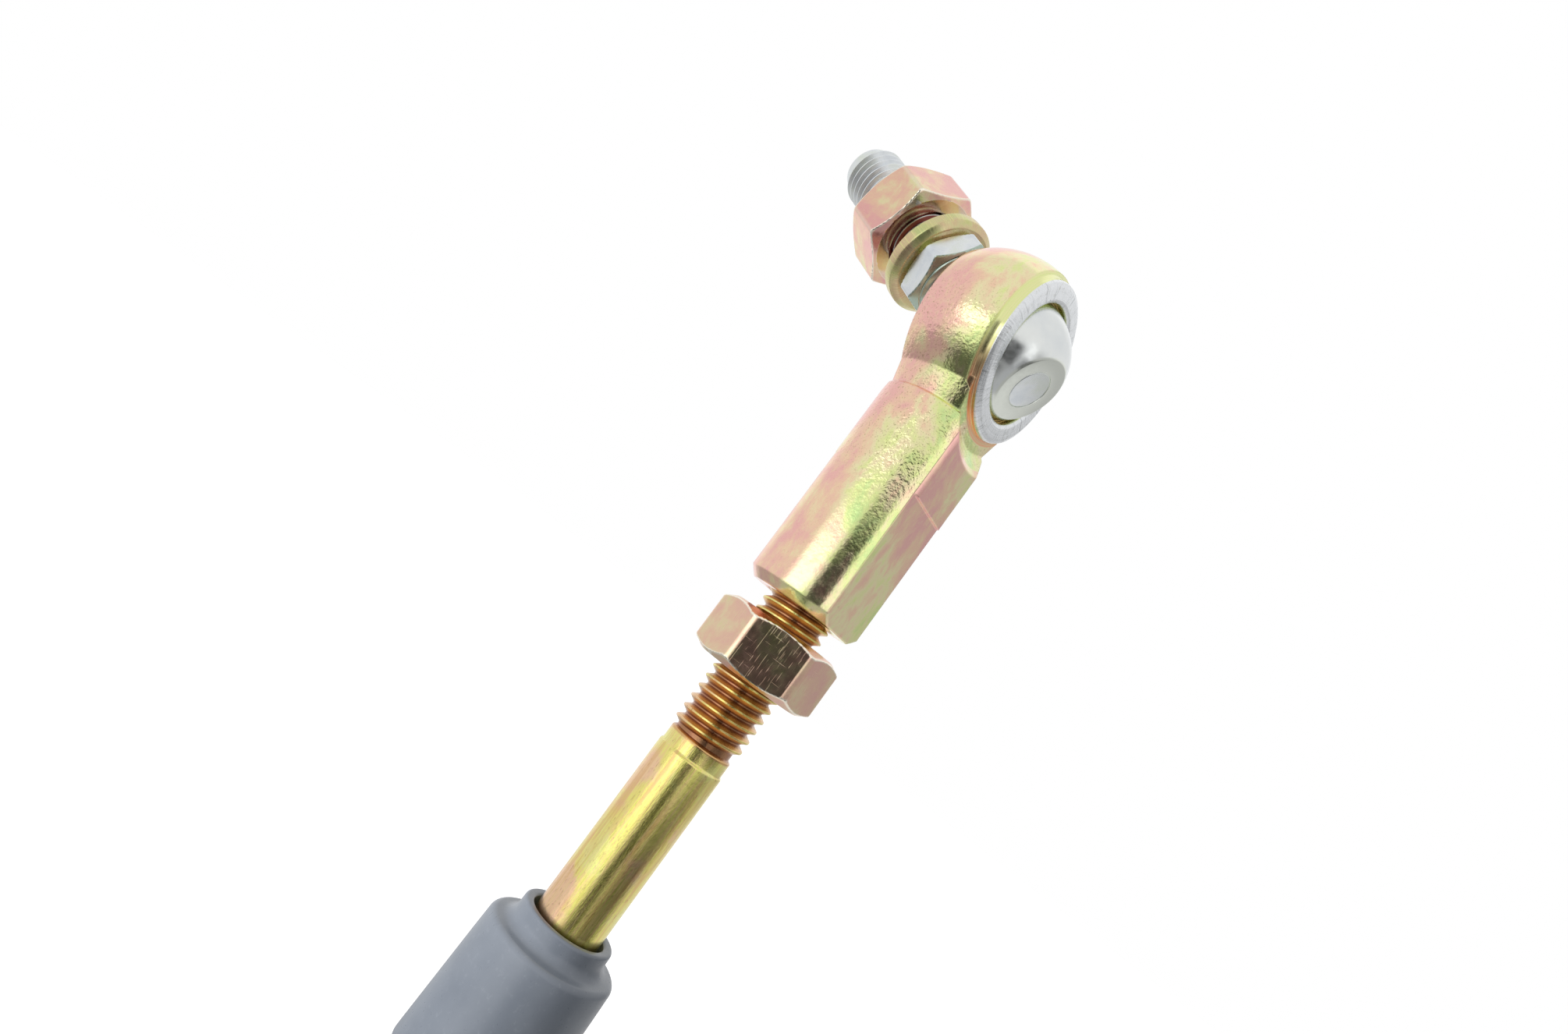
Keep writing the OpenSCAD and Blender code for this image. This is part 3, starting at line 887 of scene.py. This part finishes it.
def floor():
    size, drop = 3.0, 0.4 * MM
    data = bpy.data.meshes.new("floor")
    z = cad_low.z - drop
    data.from_pydata([(-size, -size, z), (size, -size, z), (size, size, z), (-size, size, z)], [],
                     [(0, 1, 2, 3)])
    obj = bpy.data.objects.new("floor", data)
    bpy.context.scene.collection.objects.link(obj)
    n = Nodes("pale_floor")
    tone = n.ramp(n.noise(120.0, 2.0), [(0.3, (0.93, 0.93, 0.93)), (0.7, (0.96, 0.96, 0.96))])
    glow = {"Emission Color": (1.0, 1.0, 1.0, 1.0), "Emission Strength": 0.30}
    paint(obj, n.shader(tone, 0.8, 0.0, **glow))
    obj.visible_glossy = False
    obj.visible_diffuse = False


def world():
    """A white surround with soft brighter and darker patches in fixed directions, for the metal to reflect.

    The camera sees plain white.
    """
    made = bpy.data.worlds.new("studio")
    made.use_nodes = True
    bpy.context.scene.world = made
    n = WorldNodes(made)
    x, y, z = n.axis("X"), n.axis("Y"), n.axis("Z")
    level = n.radius(x, y)

    def beside(azimuth, half, soft):
        """1 within half degrees of an azimuth, counted from +X towards +Y."""
        a = math.radians(azimuth)
        across = n.math("ADD", n.math("MULTIPLY", x, math.cos(a)), n.math("MULTIPLY", y, math.sin(a)))
        return n.span(n.math("DIVIDE", across, level), math.cos(math.radians(half + soft)),
                      math.cos(math.radians(max(half - soft, 0))))

    def between(low, high, soft):
        """1 between two heights of the unit sphere."""
        return n.math("MULTIPLY", n.span(z, low - soft, low + soft), n.span(z, high + soft, high - soft))

    def lit(light, where, value):
        """The light so far, changed to a value where the mask is 1."""
        blend = n.node("ShaderNodeMix", data_type="FLOAT")
        n.feed(blend.inputs["Factor"], where)
        n.feed(blend.inputs[2], light)
        n.feed(blend.inputs[3], value)
        return blend.outputs[0]

    def patch(light, azimuth, half, soft, low, high, edge, value):
        return lit(light, n.math("MULTIPLY", beside(azimuth, half, soft), between(low, high, edge)), value)

    light = lit(0.84, between(-1.2, -0.36, 0.14), 0.46)
    # azimuth, half width and softness in degrees, then lowest and highest height, softness and strength
    for settings in ((310, 62, 14, -0.30, 0.34, 0.10, 0.50), (340, 30, 10, -1.2, -0.15, 0.10, 0.76),
                     (192, 30, 14, -1.2, -0.58, 0.10, 0.12), (270, 28, 8, -0.40, -0.06, 0.05, 0.13),
                     (38, 36, 14, -0.30, 1.2, 0.10, 1.0), (172, 18, 10, -0.42, -0.10, 0.06, 1.05),
                     (174, 16, 8, -0.10, 0.13, 0.05, 1.9), (243, 8, 4, 0.00, 0.40, 0.05, 1.10),
                     (217, 15, 3, -0.50, 0.175, 0.04, 0.07)):
        light = patch(light, *settings)
    emission = n.node("ShaderNodeBackground")
    n.feed(emission.inputs["Strength"], light)
    seen = n.node("ShaderNodeBackground")
    for shown in (emission, seen):
        shown.inputs["Color"].default_value = (1, 1, 1, 1)
    switch = n.node("ShaderNodeMixShader")
    n.tree.links.new(n.node("ShaderNodeLightPath").outputs["Is Camera Ray"], switch.inputs[0])
    n.tree.links.new(emission.outputs[0], switch.inputs[1])
    n.tree.links.new(seen.outputs[0], switch.inputs[2])
    out = n.node("ShaderNodeOutputWorld")
    n.tree.links.new(switch.outputs[0], out.inputs["Surface"])


def wash_light():
    """A soft box towards -X that faces the middle of the object and shows in no reflection."""
    distance, size = 420 * MM, 160 * MM
    light = bpy.data.lights.new("wash", "AREA")
    light.shape = "RECTANGLE"
    light.size = light.size_y = size
    light.energy = 2.3
    obj = bpy.data.objects.new("wash", light)
    bpy.context.scene.collection.objects.link(obj)
    away = Vector((-0.9, 0.4, 0.0)).normalized()
    turned = (-away).to_track_quat("-Z", "Y").to_matrix().to_4x4()
    obj.matrix_world = Matrix.Translation((cad_low + cad_high) / 2 + away * distance) @ turned
    obj.visible_glossy = False


bpy.context.scene.view_settings.view_transform = "Standard"
camera()
floor()
world()
wash_light()
housing()
ball()
stud()
lock_washer()
nuts()
control_rod()
dust_cap()
support_tube()
carried_over()
